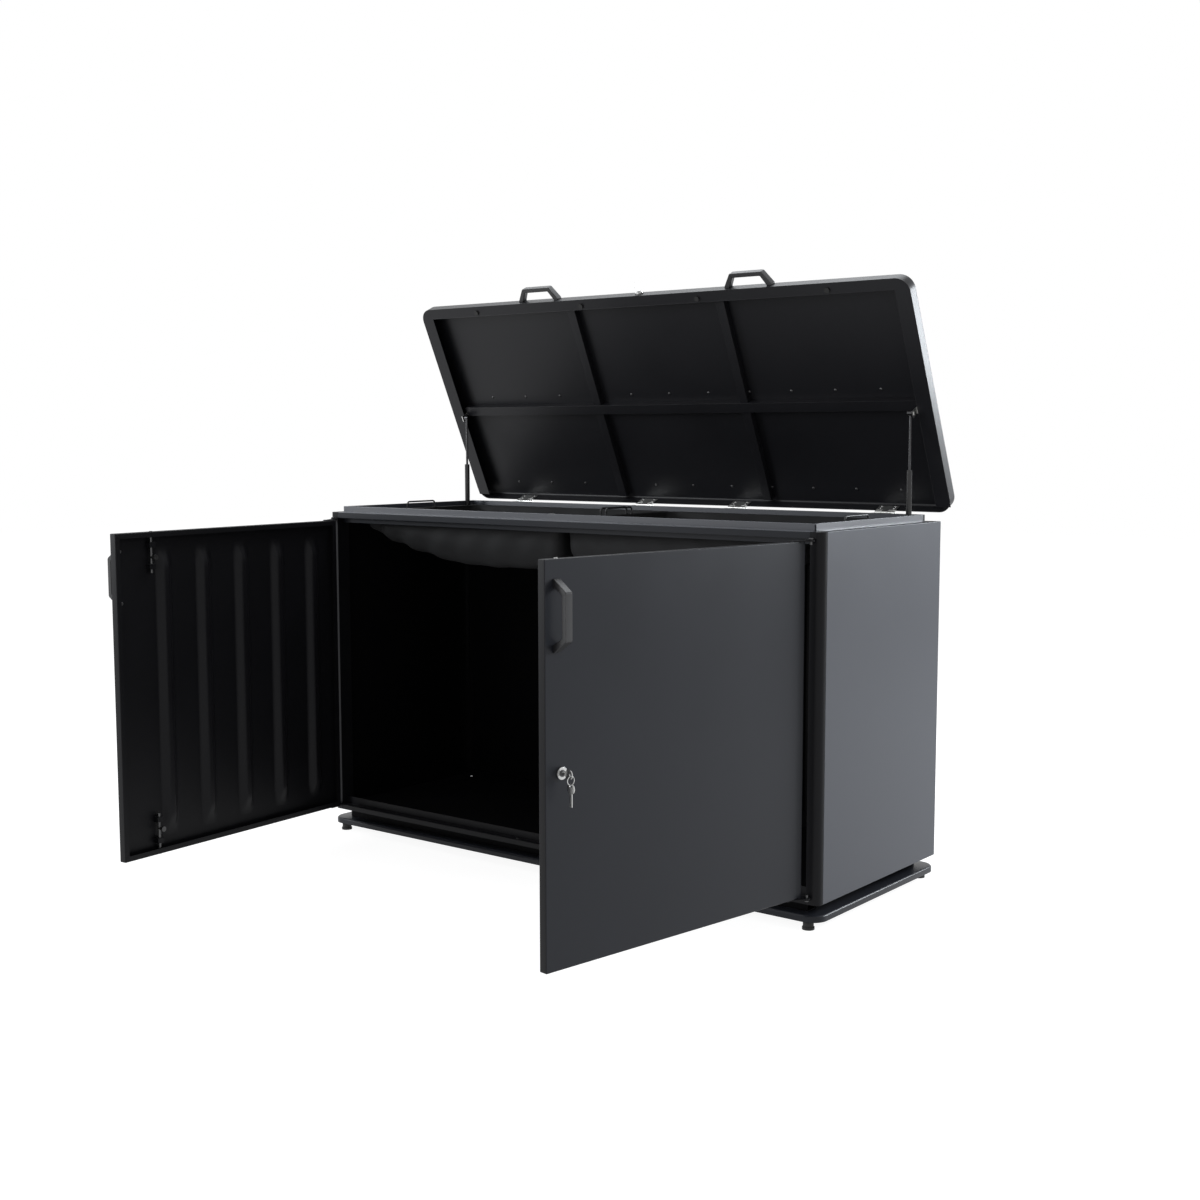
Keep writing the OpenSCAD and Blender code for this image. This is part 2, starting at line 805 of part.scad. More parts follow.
module lid_lock_housing() {
    z = lid_z + lid_lock_v;
    color("silver") lid_pose() difference() {
        union() {
            yrod(12, lid_front - 5, lid_front, 0, z);
            yrod(8.2, lid_front, lid_front + 20, 0, z);
            box([-13, lid_front + sheet, z - 10], [13, lid_front + 5, z + 7.4]);
        }
        yrod(7.05, lid_front - 6, lid_front + 21, 0, z);
    }
}

// plug with its hooked cam
module lid_lock_plug() {
    z = lid_z + lid_lock_v;
    y1 = lid_front + 31;
    color("silver") lid_pose() {
        difference() {
            yrod(7, lid_front - 6.5, y1 + 2, 0, z);
            box([-1.1, lid_front - 7, z - 4.6], [1.1, lid_front + 6, z + 4.6]);
        }
        box([0, y1, z - 4], [31.5, y1 + 2, z + 4]);
        box([27, y1, z - 14], [31.5, y1 + 2, z]);
    }
}

module lid_key() {
    color("silver") lid_pose() translate([0, lid_front - 7.3, lid_z + lid_lock_v]) flat_key(11, 11);
}

// plates on the long channel with the studs that face the struts' upper ends
module lid_strut_brackets() {
    y = strut_end_y;
    z = strut_end_z;
    color("silver") lid_pose() both() {
        box([strut_x + 8.5, y - 9, z - 9], [strut_x + 11, y + 9, lid_z + stiff_v - gap]);
        box([strut_x + 8.5, y - 9, lid_z + stiff_v - gap - 2.5], [lid_hw - flange_side - 1, y + 9, lid_z + stiff_v - gap]);
        xrod(6, strut_x + 11, rim_x - rim_t - gap, y, z);
        xrod(3.5, strut_x + 6.8, strut_x + 8.5, y, z);
    }
}

module strut_pose(side) {
    translate([side * strut_x, strut_foot_y, strut_foot_z]) rotate([-strut_tilt, 0, 0]) children();
}

// tube with its foot eye, drawn upright from the foot stud
module strut_tube() {
    difference() {
        union() {
            xrod(9, -6, 6, 0, 0);
            cylinder(r = 5, h = 12);
            translate([0, 0, 10]) cylinder(r = tube_d / 2, h = tube_l);
        }
        xrod(4.05, -7, 7, 0, 0);
        translate([0, 0, 16]) cylinder(r = rod_d / 2 + 0.1, h = tube_l);
    }
}

// rod with its upper end fitting
module strut_rod() {
    translate([0, 0, 18 + stroke]) cylinder(r = rod_d / 2, h = strut_shut - 18);
    xrod(7, -7, 5.5, 0, strut_len);
}

module right_strut_tube() {
    color("black") strut_pose(1) strut_tube();
}

module left_strut_tube() {
    color("black") strut_pose(-1) mirror([1, 0, 0]) strut_tube();
}

module right_strut_rod() {
    color("silver") strut_pose(1) strut_rod();
}

module left_strut_rod() {
    color("silver") strut_pose(-1) mirror([1, 0, 0]) strut_rod();
}

// outline of a tub from the front and from the side, rounded below
module tub_block(x0, x1, y, z0, z1, r) {
    intersection() {
        translate([0, y, 0]) rotate([90, 0, 0]) linear_extrude(2 * y) bowl(x0, x1, z0, z1, r);
        translate([x0, 0, 0]) rotate([90, 0, 90]) linear_extrude(x1 - x0) bowl(-y, y, z0, z1, r * 0.6);
    }
}

module bowl(a, b, z0, z1, r) {
    intersection() {
        translate([a, z0]) square([b - a, z1 - z0]);
        union() {
            translate([a, z0 + r]) square([b - a, z1 - z0 - r]);
            translate([a + r, z0]) square([b - a - 2 * r, r + 1]);
            translate([a + r, z0 + r]) circle(r);
            translate([b - r, z0 + r]) circle(r);
        }
    }
}

// flange ring, straight collar and rounded bowl, each its own moulding
module tub() {
    x0 = tub_x0 + 5;
    x1 = tub_x1 - 8;
    y = tub_y - 22;
    z0 = tub_top - tub_h;
    w = tub_wall;
    seat = z0 + tub_r + 0.6;
    difference() {
        box([tub_x0, -tub_y, tub_top - 4], [tub_x1, tub_y, tub_top]);
        box([x0 - tub_seam, -y - tub_seam, z0], [x1 + tub_seam, y + tub_seam, tub_top + 1]);
    }
    difference() {
        box([x0, -y, seat + tub_seam], [x1, y, tub_top]);
        box([x0 + w, -y + w, seat - 1], [x1 - w, y - w, tub_top + 1]);
    }
    difference() {
        tub_block(x0, x1, y, z0, seat, tub_r);
        tub_block(x0 + w, x1 - w, y - w, z0 + w, seat + 1, tub_r - w);
    }
}

module right_tub() {
    color("dimgray") tub();
}

module left_tub() {
    color("dimgray") mirror([1, 0, 0]) tub();
}

// bent wire loop standing on the tub's end flange
module wire_loop(x, foot) {
    r = 2.5;
    b = 8;
    h = loop_top - r;
    for (k = [-1, 1]) {
        translate([x, k * loop_half, tub_top]) cylinder(r = r, h = h - b - tub_top);
        translate([x, k * (loop_half - b), h - b]) rotate([90, 0, k > 0 ? 90 : -90])
            rotate_extrude(angle = 90) translate([b, 0]) circle(r, $fn = 32);
        translate([x, k * loop_half, tub_top]) cylinder(r = foot, h = 1.5);
    }
    yrod(r, -loop_half + b, loop_half - b, x, h);
}

module tub_handles() {
    wire_loop(tub_x0 + 4, 4);
    wire_loop(tub_x1 - 5.5, 5);
}

module right_tub_handles() {
    color("black") tub_handles();
}

module left_tub_handles() {
    color("black") mirror([1, 0, 0]) tub_handles();
}

// the origin lies on the floor under the middle of the open cabinet
open_front = pivot_y - (pivot_x - door_free) * sin(left_angle);
open_back = swing(lid_back, lid_top)[0];
origin_y = -round((open_front + open_back) / 2);

module in_frame() {
    translate([0, origin_y, 0]) children();
}

in_frame() plinth();
in_frame() levelling_feet();
in_frame() plinth_risers();
in_frame() floor_panel();
in_frame() left_side_panel();
in_frame() right_side_panel();
in_frame() left_corner_post();
in_frame() right_corner_post();
in_frame() back_panel();
in_frame() header_rail();
in_frame() sill_rail();
in_frame() front_rim_rail();
in_frame() back_rim_rail();
in_frame() left_rim_rail();
in_frame() right_rim_rail();
in_frame() tub_centre_rail();
in_frame() door_pivot_brackets();
in_frame() door_pivot_pins();
in_frame() lid_hinge_brackets();
in_frame() strut_foot_brackets();
in_frame() door_lock_keepers();
in_frame() lid_lock_keeper();
in_frame() left_door_skin();
in_frame() left_door_ribs();
in_frame() left_door_handle();
in_frame() left_door_hinge_arms();
in_frame() left_bolt_guides();
in_frame() left_top_bolt();
in_frame() left_bottom_bolt();
in_frame() right_door_skin();
in_frame() right_door_ribs();
in_frame() right_door_handle();
in_frame() right_door_hinge_arms();
in_frame() lock_housing();
in_frame() rod_guides();
in_frame() lock_plug();
in_frame() top_lock_rod();
in_frame() bottom_lock_rod();
in_frame() door_key();
in_frame() key_ring();
in_frame() spare_key();
in_frame() lid_shell();
in_frame() lid_long_stiffener();
in_frame() lid_cross_stiffeners();
in_frame() lid_handles();
in_frame() lid_hinge_leaves();
in_frame() lid_bumpers();
in_frame() lid_lock_housing();
in_frame() lid_strut_brackets();
in_frame() lid_lock_plug();
in_frame() lid_key();
in_frame() left_strut_tube();
in_frame() left_strut_rod();
in_frame() right_strut_tube();
in_frame() right_strut_rod();
in_frame() left_tub();
in_frame() right_tub();
in_frame() left_tub_handles();
in_frame() right_tub_handles();
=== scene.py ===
import json
from math import cos, pi, radians, sin

import bmesh
import bpy
import numpy as np
from mathutils import Euler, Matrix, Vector


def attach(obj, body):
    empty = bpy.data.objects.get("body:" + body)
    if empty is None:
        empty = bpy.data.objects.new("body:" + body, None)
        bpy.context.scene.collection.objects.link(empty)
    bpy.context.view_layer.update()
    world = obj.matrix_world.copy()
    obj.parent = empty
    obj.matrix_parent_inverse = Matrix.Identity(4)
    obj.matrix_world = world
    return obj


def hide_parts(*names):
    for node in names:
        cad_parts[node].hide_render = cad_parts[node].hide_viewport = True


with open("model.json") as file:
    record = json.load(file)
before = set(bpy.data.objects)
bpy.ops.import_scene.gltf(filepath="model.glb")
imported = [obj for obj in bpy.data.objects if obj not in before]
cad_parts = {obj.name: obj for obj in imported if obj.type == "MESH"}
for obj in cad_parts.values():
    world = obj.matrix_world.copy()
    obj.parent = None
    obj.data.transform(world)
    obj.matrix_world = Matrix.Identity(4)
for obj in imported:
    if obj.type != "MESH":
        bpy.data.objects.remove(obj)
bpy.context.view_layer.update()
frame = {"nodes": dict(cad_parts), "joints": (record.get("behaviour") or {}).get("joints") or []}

nodes = frame["nodes"]
joints = {j["name"]: j for j in frame["joints"]}
print("frame loaded:", len(nodes), "nodes")

# pieces below are written round the body's own middle; the shared origin lies this far in front of it
originY = 0.358
toOrigin = np.array([0.0, originY, 0.0])

# place and angles were solved from the photograph's straight edges
cameraSet = {"place": (2.67806, -3.13353, 1.16208), "yaw": 38.07, "pitch": -5.85, "roll": 0.06, "lens": 47.92,
             "sensor": 36.0, "near": 0.05, "far": 60.0}


def makeCamera():
    data = bpy.data.cameras.new("photoCamera")
    data.sensor_fit, data.sensor_width, data.lens = "AUTO", cameraSet["sensor"], cameraSet["lens"]
    data.clip_start, data.clip_end = cameraSet["near"], cameraSet["far"]
    camera = bpy.data.objects.new("photoCamera", data)
    bpy.context.scene.collection.objects.link(camera)
    camera.location = cameraSet["place"]
    turn = (90 + cameraSet["pitch"], cameraSet["roll"], cameraSet["yaw"])
    camera.rotation_euler = Euler([radians(a) for a in turn])
    bpy.context.scene.camera = camera


makeCamera()


class Wire:
    # a socket of a shader tree; arithmetic on it adds Math nodes
    def __init__(self, tree, socket=None):
        self.tree, self.socket = tree, socket

    def node(self, kind, settings=(), inputs=(), out=0):
        made = self.tree.nodes.new(kind)
        for key, value in dict(settings).items():
            setattr(made, key, value)
        for key, value in dict(inputs).items():
            if isinstance(value, Wire):
                self.tree.links.new(value.socket, made.inputs[key])
            else:
                made.inputs[key].default_value = value
        return Wire(self.tree, made.outputs[out])

    def maths(self, operation, other=0.0, swap=False):
        first, second = (other, self) if swap else (self, other)
        return self.node("ShaderNodeMath", {"operation": operation}, {0: first, 1: second})

    def __add__(self, other): return self.maths("ADD", other)
    def __radd__(self, other): return self.maths("ADD", other, True)
    def __sub__(self, other): return self.maths("SUBTRACT", other)
    def __rsub__(self, other): return self.maths("SUBTRACT", other, True)
    def __mul__(self, other): return self.maths("MULTIPLY", other)
    def __rmul__(self, other): return self.maths("MULTIPLY", other, True)


def clamp(wire, low, high):
    return wire.node("ShaderNodeClamp", {}, {"Value": wire, "Min": low, "Max": high})


def mixColour(start, amount, first, second):
    return start.node("ShaderNodeMix", {"data_type": "RGBA"}, {0: amount, 6: first, 7: second}, 2)


def noise(start, where, scale, detail):
    return start.node("ShaderNodeTexNoise", {"noise_dimensions": "3D"},
                      {"Vector": where, "Scale": scale, "Detail": detail})


def newMaterial(name):
    material = bpy.data.materials.new(name)
    material.use_nodes = True
    tree = material.node_tree
    tree.nodes.clear()
    start = Wire(tree)
    where = start.node("ShaderNodeTexCoord", out=3)
    return material, start, where


def surface(start, colour, roughness, metallic=0.0, bump=None, specular=0.5):
    values = {"Base Color": colour, "Roughness": roughness, "Metallic": metallic, "Specular IOR Level": specular}
    if bump is not None:
        values["Normal"] = bump
    return start.node("ShaderNodeBsdfPrincipled", {}, values)


def finishMaterial(start, shader):
    start.tree.links.new(shader.socket, start.tree.nodes.new("ShaderNodeOutputMaterial").inputs["Surface"])


# satin powder coat: fine orange peel, faint clouds, sheets not quite flat
paintSet = {
    "anthracite": {"dark": (0.018, 0.020, 0.025, 1), "light": (0.023, 0.025, 0.032, 1),
                   "rough": 0.33, "wave": 0.05, "shine": 0.20},
    # inner copy: the same anthracite coat made darker and duller, as painted shade on posts, rails, ribs and door
    # insides
    "innerPaint": {"dark": (0.006, 0.006, 0.007, 1), "light": (0.009, 0.009, 0.011, 1),
                   "rough": 0.46, "wave": 0.05, "shine": 0.15},
    # lid copy: the same anthracite coat made darker, as painted shade on the lid's shaded underside
    "lidPaint": {"dark": (0.009, 0.009, 0.011, 1), "light": (0.013, 0.013, 0.016, 1),
                 "rough": 0.40, "wave": 0.10, "shine": 0.25},
    # cave copy: the same coat made near-black, as painted shade inside the cabinet and under the body
    "cavePaint": {"dark": (0.003, 0.003, 0.003, 1), "light": (0.004, 0.004, 0.005, 1),
                  "rough": 0.55, "wave": 0.05, "shine": 0.06},
    # rim copy: the same coat made much lighter and shinier, as painted light and highlight on the rim rails
    "rimPaint": {"dark": (0.055, 0.060, 0.075, 1), "light": (0.075, 0.080, 0.096, 1),
                 "rough": 0.34, "wave": 0.05, "shine": 0.7},
    # side copy: the same coat made lighter, as painted light on the side panels' outer faces
    "sidePaint": {"dark": (0.062, 0.067, 0.080, 1), "light": (0.076, 0.081, 0.096, 1),
                  "rough": 0.36, "wave": 0.05, "shine": 0.24, "skin": 0.8262},
}
# the back sheet keeps the plain anthracite outside only; its inside takes the near-black cave colour as painted
# shade, like the side trays
paintSet["backPaint"] = dict(paintSet["anthracite"], skin=originY + 0.2981, skinAxis=1)


def makePaint(name):
    v = paintSet[name]
    material, start, where = newMaterial(name)
    cloud = noise(start, where, 5.0, 3.0)
    speck = noise(start, where, 900.0, 1.0)
    sheetWave = noise(start, where, 2.2, 1.0)
    colour = mixColour(start, clamp(0.5 * cloud + 0.5 * speck, 0.0, 1.0), v["dark"], v["light"])
    rough = v["rough"] + 0.08 * (cloud - 0.5) + 0.10 * (speck - 0.5)
    soft = start.node("ShaderNodeBump", {}, {"Strength": v["wave"], "Distance": 0.004, "Height": sheetWave})
    fine = start.node("ShaderNodeBump", {},
                      {"Strength": 0.10, "Distance": 0.00015, "Height": speck, "Normal": soft})
    shader = surface(start, colour, rough, bump=fine, specular=v["shine"])
    if "skin" in v:
        # only the outer face keeps the paint's own colour; the inside of the tray gets the near-black cave colour
        # and a duller shine as painted shade
        inside = paintSet["cavePaint"]
        across = start.node("ShaderNodeSeparateXYZ", {}, {0: where}, v.get("skinAxis", 0)).maths("ABSOLUTE")
        outside = across.maths("GREATER_THAN", v["skin"])
        dark = mixColour(start, clamp(cloud, 0.0, 1.0), inside["dark"], inside["light"])
        paintedShadeInside = surface(start, dark, rough + 0.2, bump=fine, specular=inside["shine"])
        shader = start.node("ShaderNodeMixShader", {}, {0: outside, 1: paintedShadeInside, 2: shader})
    finishMaterial(start, shader)
    return material


metalSet = {
    "nitrided": {"dark": (0.045, 0.045, 0.047, 1), "light": (0.075, 0.075, 0.078, 1), "rough": 0.26, "grain": 60.0},
    "darkZinc": {"dark": (0.075, 0.075, 0.078, 1), "light": (0.11, 0.11, 0.11, 1), "rough": 0.42, "grain": 80.0},
    "zincPlate": {"dark": (0.50, 0.50, 0.49, 1), "light": (0.68, 0.68, 0.66, 1), "rough": 0.32, "grain": 60.0},
    "nickel": {"dark": (0.36, 0.36, 0.36, 1), "light": (0.58, 0.58, 0.57, 1), "rough": 0.22, "grain": 90.0},
}


def makeMetal(name):
    v = metalSet[name]
    material, start, where = newMaterial(name)
    patch = noise(start, where, v["grain"], 3.0)
    scratch = noise(start, where, 1400.0, 1.0)
    colour = mixColour(start, clamp(patch, 0.0, 1.0), v["dark"], v["light"])
    rough = v["rough"] + 0.14 * (patch - 0.5) + 0.06 * (scratch - 0.5)
    bump = start.node("ShaderNodeBump", {}, {"Strength": 0.12, "Distance": 0.0002, "Height": scratch})
    finishMaterial(start, surface(start, colour, rough, metallic=1.0, bump=bump))
    return material


plasticSet = {
    "blackPlastic": {"dark": (0.010, 0.010, 0.011, 1), "light": (0.018, 0.018, 0.020, 1),
                     "rough": 0.42, "grain": 1100.0, "depth": 0.25, "shine": 0.5},
    "rubber": {"dark": (0.008, 0.008, 0.008, 1), "light": (0.014, 0.014, 0.014, 1),
               "rough": 0.70, "grain": 700.0, "depth": 0.30, "shine": 0.5},
    "glossBlack": {"dark": (0.006, 0.006, 0.007, 1), "light": (0.010, 0.010, 0.011, 1),
                   "rough": 0.20, "grain": 900.0, "depth": 0.05, "shine": 0.5},
    "tubLiner": {"dark": (0.018, 0.018, 0.019, 1), "light": (0.030, 0.030, 0.031, 1),
                 "rough": 0.60, "grain": 500.0, "depth": 0.35, "shine": 0.15},
}


def makePlastic(name):
    v = plasticSet[name]
    material, start, where = newMaterial(name)
    patch = noise(start, where, 14.0, 4.0)
    grain = noise(start, where, v["grain"], 2.0)
    colour = mixColour(start, clamp(0.7 * patch + 0.3 * grain, 0.0, 1.0), v["dark"], v["light"])
    rough = v["rough"] + 0.12 * (patch - 0.5) + 0.10 * (grain - 0.5)
    bump = start.node("ShaderNodeBump", {}, {"Strength": v["depth"], "Distance": 0.0003, "Height": grain})
    finishMaterial(start, surface(start, colour, rough, bump=bump, specular=v["shine"]))
    return material


materials = {name: makePaint(name) for name in paintSet}
materials.update({name: makeMetal(name) for name in metalSet})
materials.update({name: makePlastic(name) for name in plasticSet})
print("materials:", len(materials))


def block(low, high):
    # box from its lowest to its highest corner; the corner number's three bits pick low or high along x, y and z
    bits = (np.arange(8)[:, None] >> np.arange(3)) & 1
    points = np.where(bits, np.array(high), np.array(low))
    faces = np.array([(0, 2, 3, 1), (4, 5, 7, 6), (0, 1, 5, 4), (2, 6, 7, 3), (0, 4, 6, 2), (1, 3, 7, 5)])
    return points, faces


def gridFaces(rows, cols, closed):
    # quads between neighbouring rows of a rows x cols grid; closed joins the last column to the first
    r, c = np.meshgrid(np.arange(rows - 1), np.arange(cols if closed else cols - 1), indexing="ij")
    n = (c + 1) % cols
    return np.stack([r * cols + c, r * cols + n, (r + 1) * cols + n, (r + 1) * cols + c], -1).reshape(-1, 4)


def makePiece(name, points, faces, material, merge=0.0):
    # merge is the distance for closing seams; such a piece also gets its faces turned outwards
    mesh = bpy.data.meshes.new(name)
    places = (np.asarray(points, float) + toOrigin).tolist()
    mesh.from_pydata(places, [], [tuple(int(i) for i in f) for f in faces])
    mesh.update()
    piece = bpy.data.objects.new(name, mesh)
    bpy.context.scene.collection.objects.link(piece)
    mesh.materials.append(materials[material])
    if merge:
        work = bmesh.new()
        work.from_mesh(mesh)
        bmesh.ops.remove_doubles(work, verts=work.verts, dist=merge)
        bmesh.ops.dissolve_degenerate(work, edges=work.edges, dist=merge)
        bmesh.ops.recalc_face_normals(work, faces=work.faces)
        work.to_mesh(mesh)
        work.free()
    mesh.polygons.foreach_set("use_smooth", [True] * len(mesh.polygons))
    return piece


def addModifier(piece, kind, **values):
    made = piece.modifiers.new(kind.title(), kind)
    for key, value in values.items():
        setattr(made, key, value)


def dressNode(name, material, bevel=0.0, angle=32):
    # a CAD node keeps its mesh; welding lets its edges be rounded and its curves shade smooth
    piece = nodes[name]
    piece.data.materials.clear()
    piece.data.materials.append(materials[material])
    piece.data.polygons.foreach_set("use_smooth", [True] * len(piece.data.polygons))
    addModifier(piece, "WELD", merge_threshold=0.00001)
    if bevel:
        addModifier(piece, "BEVEL", width=bevel, segments=2, limit_method="ANGLE", angle_limit=radians(angle))
    addModifier(piece, "EDGE_SPLIT", split_angle=radians(50 if bevel else angle))
    addModifier(piece, "WEIGHTED_NORMAL", mode="FACE_AREA", weight=90, keep_sharp=True)


def turned(points, pivot, axis, angle):
    # turns points about a line through pivot, by the right-hand rule
    a = np.array(axis, float) / np.linalg.norm(axis)
    p = np.asarray(points, float) - pivot
    along = (p @ a)[..., None] * a
    side = np.cross(a, p)
    return along + (p - along) * cos(angle) + side * sin(angle) + pivot


def openPose(points, joint):
    # closed pieces are drawn at the joint's lower limit and swung to where the photograph shows them
    j = joints[joint]
    return turned(points, np.array(j["pos_m"]) - toOrigin, j["axis"], radians(-j["range_deg"][0]))


def ring(halfX, halfY, radius, count, centreX=0.0, centreY=0.0, sides=0):
    # rounded rectangle in plan: a quarter circle of count steps at each corner, and sides points along each edge
    t = np.linspace(0, pi / 2, count + 1)
    corners = []
    for k, (sx, sy) in enumerate([(1, 1), (-1, 1), (-1, -1), (1, -1)]):
        a = t + k * pi / 2
        middle = np.array([sx * (halfX - radius), sy * (halfY - radius)])
        corners.append(middle + radius * np.stack([np.cos(a), np.sin(a)], -1))
    if sides:
        f = np.linspace(0, 1, sides + 2)[1:-1, None]
        edges = [a[-1] + (b[0] - a[-1]) * f for a, b in zip(corners, corners[1:] + corners[:1])]
        corners = [part for pair in zip(corners, edges) for part in pair]
    return np.concatenate(corners) + np.array([centreX, centreY])


def shell(steps, halfX, halfY, radius, count, centre=(0.0, 0.0)):
    # stack of rounded rectangles, each drawn in by inset at height z; steps is a list of (inset, z)
    rows = []
    for inset, z in steps:
        r = max(radius - inset, 0.0004)
        plan = ring(halfX - inset, halfY - inset, r, count, *centre)
        rows.append(np.c_[plan, np.full(len(plan), z)])
    return np.array(rows)


def arc(centre, radius, start, end, count):
    # points on a circle from start to end degrees
    a = np.radians(np.linspace(start, end, count + 1))
    return [(centre[0] + radius * cos(t), centre[1] + radius * sin(t)) for t in a]


def capped(grid):
    # faces of a closed stack of rings with a flat cap on its first and last ring
    rows, cols = grid.shape[:2]
    faces = [tuple(f) for f in gridFaces(rows, cols, True)]
    faces.append(tuple(range(cols))[::-1])
    faces.append(tuple(range((rows - 1) * cols, rows * cols)))
    return faces


def tube(path, radius, sides):
    # circle of the given radius carried along a level path of points
    path = np.asarray(path, float)
    ahead = np.gradient(path, axis=0)
    ahead /= np.linalg.norm(ahead, axis=1)[:, None]
    side = np.cross(ahead, np.array([0.0, 0.0, 1.0]))
    side /= np.linalg.norm(side, axis=1)[:, None]
    up = np.cross(side, ahead)
    a = np.linspace(0, 2 * pi, sides, endpoint=False)[None, :, None]
    return path[:, None] + radius * (np.cos(a) * side[:, None] + np.sin(a) * up[:, None])


def joined(parts):
    # several (points, faces) in one
    points, faces, base = [], [], 0
    for p, f in parts:
        p = np.asarray(p, float).reshape(-1, 3)
        points.append(p)
        faces += [tuple(int(i) + base for i in g) for g in f]
        base += len(p)
    return np.concatenate(points), faces


def dome(radius, height, sides=16, rows=4):
    # screw or rivet head: a flattened half ball on the plane z = 0
    a = np.linspace(0, 2 * pi, sides, endpoint=False)
    h = np.linspace(0, pi / 2, rows + 1)
    level = h[:-1, None]
    grid = np.stack(np.broadcast_arrays(radius * np.cos(level) * np.cos(a), radius * np.cos(level) * np.sin(a),
                                        height * np.sin(level)), -1)
    points = np.concatenate([grid.reshape(-1, 3), [[0, 0, height]]])
    faces = [tuple(f) for f in gridFaces(rows, sides, True)]
    top, last = len(points) - 1, (rows - 1) * sides
    faces += [(last + i, last + (i + 1) % sides, top) for i in range(sides)]
    faces.append(tuple(range(sides))[::-1])
    return points, faces


def placed(part, centre, towards):
    # a part drawn along +Z, moved so that +Z points towards
    z = np.array(towards, float) / np.linalg.norm(towards)
    x = np.cross([0.0, 1.0, 0.0] if abs(z[1]) < 0.9 else [1.0, 0.0, 0.0], z)
    x /= np.linalg.norm(x)
    turn = np.stack([x, np.cross(z, x), z])
    return np.asarray(part[0]) @ turn + np.array(centre), part[1]


seamGap = 1e-6  # points closer than this are one point
splitAngle = radians(32)
rivetHead = (0.0042, 0.0022)  # radius and height
screwHead = (0.0034, 0.0018)
hemSet = {"low": (-0.8085, 0.2983, 0.0650), "high": (0.8085, 0.2993, 0.0860)}


def dressBody():
    # plinth risers and floor panel take the near-black cave colour as painted shade
    dressNode("plinth_risers", "cavePaint", 0.0006)
    dressNode("floor_panel", "cavePaint", 0.0001)
    dressNode("back_panel", "backPaint", 0.0001)
    # hem of the back sheet, spot-welded behind the floor's upturned edge, near-black as painted shade
    piece = makePiece("backSheetHem", *block(hemSet["low"], hemSet["high"]), "cavePaint")
    addModifier(piece, "EDGE_SPLIT", split_angle=splitAngle)
    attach(piece, "cabinet")
    # posts and pivot brackets take the darker inner copy of the paint as painted shade
    for name in ("left_corner_post", "right_corner_post", "door_pivot_brackets"):
        dressNode(name, "innerPaint", 0.0005)
    dressNode("header_rail", "anthracite", 0.0005)
    # sill rail and tub centre rail take the darker inner copy as painted shade
    for name in ("sill_rail", "tub_centre_rail"):
        dressNode(name, "innerPaint", 0.0005)
    # rim rails take the lighter, shinier copy of the paint as painted light
    for name in ("front_rim_rail", "back_rim_rail", "left_rim_rail", "right_rim_rail"):
        dressNode(name, "rimPaint", 0.0010)
    # side panels: lighter copy outside as painted light, near-black inside as painted shade
    for name in ("left_side_panel", "right_side_panel"):
        dressNode(name, "sidePaint", 0.0011)
    for name in ("lid_hinge_brackets", "strut_foot_brackets", "lid_lock_keeper"):
        dressNode(name, "zincPlate", 0.0004)
    for name in ("door_pivot_pins", "door_lock_keepers"):
        dressNode(name, "darkZinc", 0.0004)
    dressNode("levelling_feet", "rubber", 0.0015)


# folded tray under the body, with a soft bend round its top edge
plinthSet = {"halfX": 0.831, "halfY": 0.308, "corner": 0.040, "bend": 0.006, "sheet": 0.0012,
             "z0": 0.022, "z1": 0.038, "windowX": 0.757, "windowY": 0.230, "windowCorner": 0.030}


def makePlinth():
    v = plinthSet
    b, s = v["bend"], v["sheet"]
    outer = [(0.0, v["z0"])] + [(b - x, z) for x, z in arc((0.0, v["z1"] - b), b, 0, 90, 8)]
    under = [(b - x, z - s) for x, z in arc((0.0, v["z1"] - b), b - s, 90, 0, 8)]
    steps = outer + [None] + under + [(s, v["z0"])]
    rows = []
    window = ring(v["windowX"], v["windowY"], v["windowCorner"], 10)
    for step in steps:
        if step is None:
            rows.append(np.c_[window, np.full(len(window), v["z1"])])
            rows.append(np.c_[window, np.full(len(window), v["z1"] - s)])
            continue
        inset, z = step
        plan = ring(v["halfX"] - inset, v["halfY"] - inset, v["corner"] - inset, 10)
        rows.append(np.c_[plan, np.full(len(plan), z)])
    rows.append(rows[0])
    grid = np.array(rows)
    faces = gridFaces(*grid.shape[:2], True)
    piece = makePiece("plinthTray", grid.reshape(-1, 3), faces, "anthracite", merge=seamGap)
    addModifier(piece, "EDGE_SPLIT", split_angle=splitAngle)
    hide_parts("plinth")
    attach(piece, "cabinet")


bracketSet = {"acrossX": (-0.018, 0.018), "y": 0.3025, "z": (0.897, 0.918)}


def makeBracketRivets():
    v = bracketSet
    spots = [(x + dx, v["y"], z) for x in hingeSet["places"] for dx in v["acrossX"] for z in v["z"]]
    parts = [placed(dome(*screwHead), spot, (0, 1, 0)) for spot in spots]
    piece = makePiece("hingeBracketRivets", *joined(parts), "zincPlate")
    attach(piece, "cabinet")


lidSet = {"halfX": 0.8293, "back": 0.3521, "length": 0.645, "z0": 0.9646, "depth": 0.036, "corner": 0.038,
          "bend": 0.0085, "sheet": 0.0012, "frontFlange": 0.030, "sideFlange": 0.042, "hem": 0.0013,
          "backStop": 0.016, "rivetPitch": 0.135, "rivets": 11, "rivetRows": (0.046, 0.338),
          "handleX": 0.36, "handleScrew": 0.066, "handleV": 0.020}


def onLid(points):
    return openPose(points, "lid_hinge")


